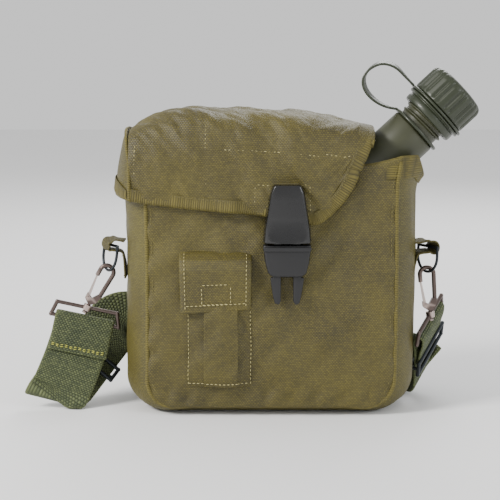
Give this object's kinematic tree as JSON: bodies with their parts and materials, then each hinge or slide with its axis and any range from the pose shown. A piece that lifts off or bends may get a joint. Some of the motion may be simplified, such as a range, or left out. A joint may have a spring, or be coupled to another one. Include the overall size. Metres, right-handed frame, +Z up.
{
  "type": "soft canteen with carrying cover",
  "caption": "Flexible canteen with a screw cap in a padded nylon cover with a clip flap, side pocket, snap hooks and webbing shoulder strap.",
  "frame": {"origin": "centre of the cover's base, on the floor", "axes": "+Z up, the front panel with the clip and pocket faces -Y, the neck leans toward +X"},
  "size_m": [0.3371, 0.1265, 0.262],
  "materials": {
    "shell_nylon": "woven nylon",
    "pile_lining": "napped pile",
    "binding_tape": "ribbed tape",
    "webbing_olive": "woven webbing",
    "strap_webbing": "coarse woven webbing",
    "clip_plastic": "moulded, satin to gloss",
    "hook_and_loop": "hook and loop tape",
    "bottle_plastic": "pebbled flexible plastic",
    "cap_plastic": "moulded, glossy",
    "seal_rubber": "matte",
    "hook_metal": "dark nickel",
    "ring_metal": "dark enamel on wire"
  },
  "bodies": {
    "cover": {"cover_front": "shell_nylon", "cover_back": "shell_nylon", "cover_gusset": "shell_nylon", "lining_front": "pile_lining", "lining_back": "pile_lining", "lining_gusset": "pile_lining", "piping_front": "binding_tape", "piping_back": "binding_tape", "rim_binding": "binding_tape", "clip_anchor": "webbing_olive", "clip_female": "clip_plastic", "pocket_body": "shell_nylon", "loop_patch": "hook_and_loop", "bladder": "bottle_plastic", "neck_ring": "cap_plastic", "cap_band": "cap_plastic", "tab_left": "webbing_olive", "tab_right": "webbing_olive", "strap_left": "strap_webbing", "strap_right": "strap_webbing", "strap_bundle": "strap_webbing"},
    "flap": {"flap_panel": "shell_nylon", "flap_side": "shell_nylon", "flap_lining": "pile_lining", "flap_binding": "binding_tape", "clip_strap": "webbing_olive", "clip_male": "clip_plastic"},
    "prong_left_body": {"prong_left": "clip_plastic"},
    "prong_right_body": {"prong_right": "clip_plastic"},
    "pocket_lid": {"pocket_flap": "shell_nylon", "hook_patch": "hook_and_loop"},
    "retainer": {"cap_ring": "cap_plastic"},
    "screw_cap": {"cap": "cap_plastic", "cap_seal": "seal_rubber"},
    "ring_left_body": {"ring_left": "ring_metal"},
    "ring_right_body": {"ring_right": "ring_metal"},
    "loop_left": {"link_left": "hook_metal"},
    "loop_right": {"link_right": "hook_metal"},
    "snap_left": {"hook_left": "hook_metal", "gate_pin_left": "hook_metal"},
    "snap_right": {"hook_right": "hook_metal", "gate_pin_right": "hook_metal"},
    "gate_left_body": {"gate_left": "hook_metal"},
    "gate_right_body": {"gate_right": "hook_metal"},
    "adjuster_left": {"slide_left": "ring_metal"},
    "adjuster_right": {"slide_right": "ring_metal"}
  },
  "joints": [
    {"name": "flap_open", "type": "hinge", "parent": "cover", "child": "flap", "pos_m": [0, 0.0395, 0.193], "axis": [-1, 0, 0], "range_deg": [0, 150]},
    {"name": "prong_left_pinch", "type": "hinge", "parent": "flap", "child": "prong_left_body", "pos_m": [0.0052, -0.0485, 0.137], "axis": [0, -1, 0], "range_deg": [0, 4.5], "stiffness_Nm_per_rad": 0.6, "springref_deg": -0.57},
    {"name": "prong_right_pinch", "type": "hinge", "parent": "flap", "child": "prong_right_body", "pos_m": [0.0198, -0.0485, 0.137], "axis": [0, 1, 0], "range_deg": [0, 4.5], "stiffness_Nm_per_rad": 0.6, "springref_deg": -0.57},
    {"name": "pocket_flap_open", "type": "hinge", "parent": "cover", "child": "pocket_lid", "pos_m": [-0.0375, -0.0393, 0.1256], "axis": [-1, 0, 0], "range_deg": [0, 105]},
    {"name": "cap_rise", "type": "slide", "parent": "cover", "child": "retainer", "axis": [0.7314, 0, 0.682], "range_m": [0, 0.015]},
    {"name": "cap_turn", "type": "hinge", "parent": "retainer", "child": "screw_cap", "pos_m": [0.1254, 0, 0.2269], "axis": [0.7314, 0, 0.682], "range_deg": [0, 1080]},
    {"name": "ring_left_swing", "type": "hinge", "parent": "cover", "child": "ring_left_body", "pos_m": [-0.1215, 0, 0.1245], "axis": [-0.5, 0.866, 0], "range_deg": [-0.8, 0.8]},
    {"name": "ring_right_swing", "type": "hinge", "parent": "cover", "child": "ring_right_body", "pos_m": [0.122, 0, 0.1235], "axis": [-0.5, 0.866, 0], "range_deg": [-0.8, 0.8]},
    {"name": "loop_left_tilt", "type": "hinge", "parent": "cover", "child": "loop_left", "pos_m": [-0.1429, 0, 0.0653], "axis": [0.9781, 0, -0.2079], "range_deg": [-0.8, 0.8]},
    {"name": "loop_right_tilt", "type": "hinge", "parent": "cover", "child": "loop_right", "pos_m": [0.1248, 0.0055, 0.0622], "axis": [0.45, 0.74, 0.5], "range_deg": [-0.8, 0.8]},
    {"name": "hook_left_swivel", "type": "hinge", "parent": "loop_left", "child": "snap_left", "pos_m": [-0.14066, 0, 0.07564], "axis": [0.4894, 0, 0.8721], "range_deg": [-6, 6]},
    {"name": "hook_right_swivel", "type": "hinge", "parent": "loop_right", "child": "snap_right", "pos_m": [0.1248, 0, 0.07027], "axis": [-0.1045, 0, 0.9945], "range_deg": [-6, 6]},
    {"name": "gate_left_open", "type": "hinge", "parent": "snap_left", "child": "gate_left_body", "pos_m": [-0.13991, 0, 0.08393], "axis": [0, 1, 0], "range_deg": [0, 22], "stiffness_Nm_per_rad": 0.004, "springref_deg": -11.46},
    {"name": "gate_right_open", "type": "hinge", "parent": "snap_right", "child": "gate_right_body", "pos_m": [0.12063, 0, 0.07748], "axis": [0, 1, 0], "range_deg": [0, 22], "stiffness_Nm_per_rad": 0.004, "springref_deg": -11.46},
    {"name": "slide_left_adjust", "type": "slide", "parent": "cover", "child": "adjuster_left", "axis": [0.452, 0.7181, 0.5292], "range_m": [-0.006, 0.016]},
    {"name": "slide_right_adjust", "type": "slide", "parent": "cover", "child": "adjuster_right", "axis": [0, -0.5593, 0.829], "range_m": [-0.008, 0.01]}
  ],
  "couplings": [
    {"joint": "cap_rise", "follows": "cap_turn", "m_per_rad": 0.00079577},
    {"joint": "prong_right_pinch", "follows": "prong_left_pinch", "ratio": 1}
  ]
}
